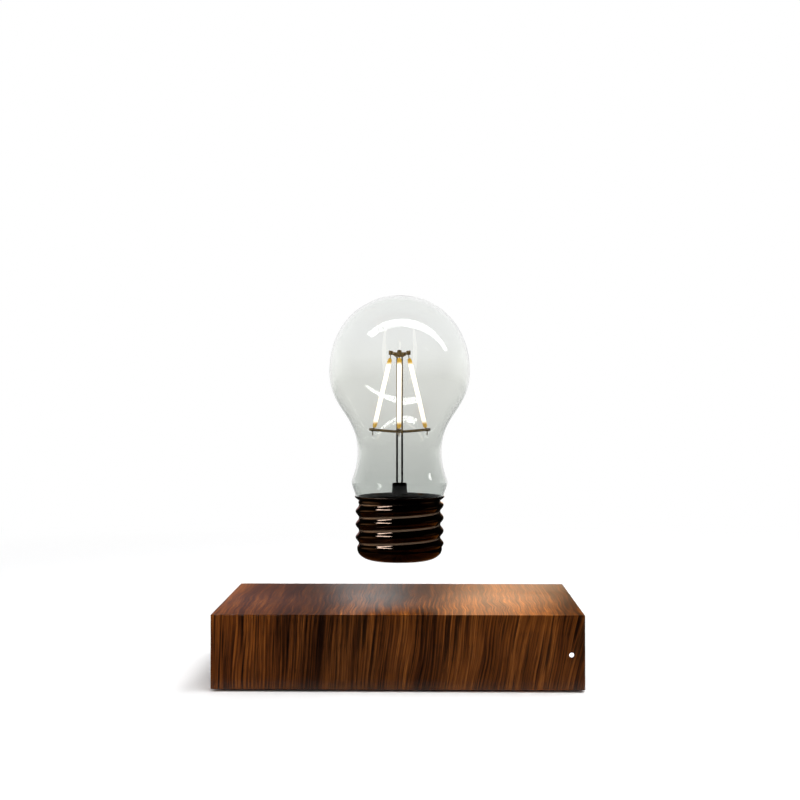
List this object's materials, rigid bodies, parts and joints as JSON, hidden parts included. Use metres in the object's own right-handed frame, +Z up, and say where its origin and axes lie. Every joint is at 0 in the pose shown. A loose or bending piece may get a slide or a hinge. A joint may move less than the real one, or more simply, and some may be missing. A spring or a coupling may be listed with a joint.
{
  "type": "levitating lamp",
  "caption": "Levitating lamp: a clear filament bulb with a threaded cap floats over a rectangular walnut box that holds its magnets, coils and power socket.",
  "frame": {"origin": "middle of the box's footprint, at the underside of the rubber feet", "axes": "+Z up along the bulb's axis, +X to the right along the box's long side, +Y from the front face with the indicator light to the rear face with the power socket"},
  "size_m": [0.15, 0.1, 0.1621],
  "materials": {
    "walnut_veneer": "semi-gloss dark walnut grain",
    "black_plastic": "matte moulded",
    "tray_plastic": "matte moulded",
    "rubber": "matte",
    "zinc_steel": "zinc plated",
    "soft_iron": "plain",
    "ferrite": "sintered, matte",
    "nickel_magnet": "nickel plated",
    "copper_winding": "enamelled copper wire",
    "green_board": "solder mask",
    "chip_resin": "matte resin",
    "capacitor_can": "satin",
    "indicator_white": "lit white",
    "black_bronze": "glossy black-bronze metallised plastic",
    "clear_glass": "clear, faintly grey-green",
    "bronze_wire": "dull bronze",
    "post_black": "black sleeve over bronze wire",
    "lit_phosphor": "lit phosphor coat"
  },
  "bodies": {
    "base": {"base_shell": "walnut_veneer", "bottom_cover": "black_plastic", "rubber_foot_rear_right": "rubber", "rubber_foot_rear_left": "rubber", "rubber_foot_front_left": "rubber", "rubber_foot_front_right": "rubber", "cover_screw_rear_right": "zinc_steel", "cover_screw_rear_left": "zinc_steel", "cover_screw_front_left": "zinc_steel", "cover_screw_front_right": "zinc_steel", "main_board": "green_board", "board_screw_rear_right": "zinc_steel", "board_screw_rear_left": "zinc_steel", "board_screw_front_left": "zinc_steel", "board_screw_front_right": "zinc_steel", "driver_chip_front": "chip_resin", "driver_chip_rear": "chip_resin", "capacitor_front": "capacitor_can", "capacitor_rear": "capacitor_can", "power_socket": "black_plastic", "indicator_light": "indicator_white", "touch_plate": "copper_winding", "touch_spring": "zinc_steel", "module_tray": "tray_plastic", "yoke_plate": "soft_iron", "magnet_ring": "ferrite", "coil_bobbin_rear_right": "black_plastic", "coil_bobbin_rear_left": "black_plastic", "coil_bobbin_front_left": "black_plastic", "coil_bobbin_front_right": "black_plastic", "coil_winding_rear_right": "copper_winding", "coil_winding_rear_left": "copper_winding", "coil_winding_front_left": "copper_winding", "coil_winding_front_right": "copper_winding", "coil_core_rear_right": "soft_iron", "coil_core_rear_left": "soft_iron", "coil_core_front_left": "soft_iron", "coil_core_front_right": "soft_iron", "sensor_board": "green_board", "hall_sensor_front": "chip_resin", "hall_sensor_middle": "chip_resin", "hall_sensor_rear": "chip_resin", "transmitter_coil": "copper_winding"},
    "float": {"float_magnet": "nickel_magnet"},
    "bulb": {"screw_cap": "black_bronze", "receiver_coil": "copper_winding", "board_holder": "tray_plastic", "rectifier_board": "green_board", "mount_plate": "black_plastic", "glass_globe": "clear_glass", "stem_block": "black_plastic", "lead_post_left": "post_black", "lead_post_right": "post_black", "lower_spider": "bronze_wire", "upper_spider": "bronze_wire", "filament_front": "lit_phosphor", "filament_right": "lit_phosphor", "filament_left": "lit_phosphor"}
  },
  "joints": [
    {"name": "lift", "type": "slide", "parent": "base", "child": "float", "axis": [0, 0, 1], "range_m": [-0.0161, 0.1], "stiffness_N_per_m": 40, "springref_m": 0.02257},
    {"name": "spin", "type": "hinge", "parent": "float", "child": "bulb", "pos_m": [0, 0, 0.0474], "axis": [0, 0, 1], "continuous": true}
  ]
}
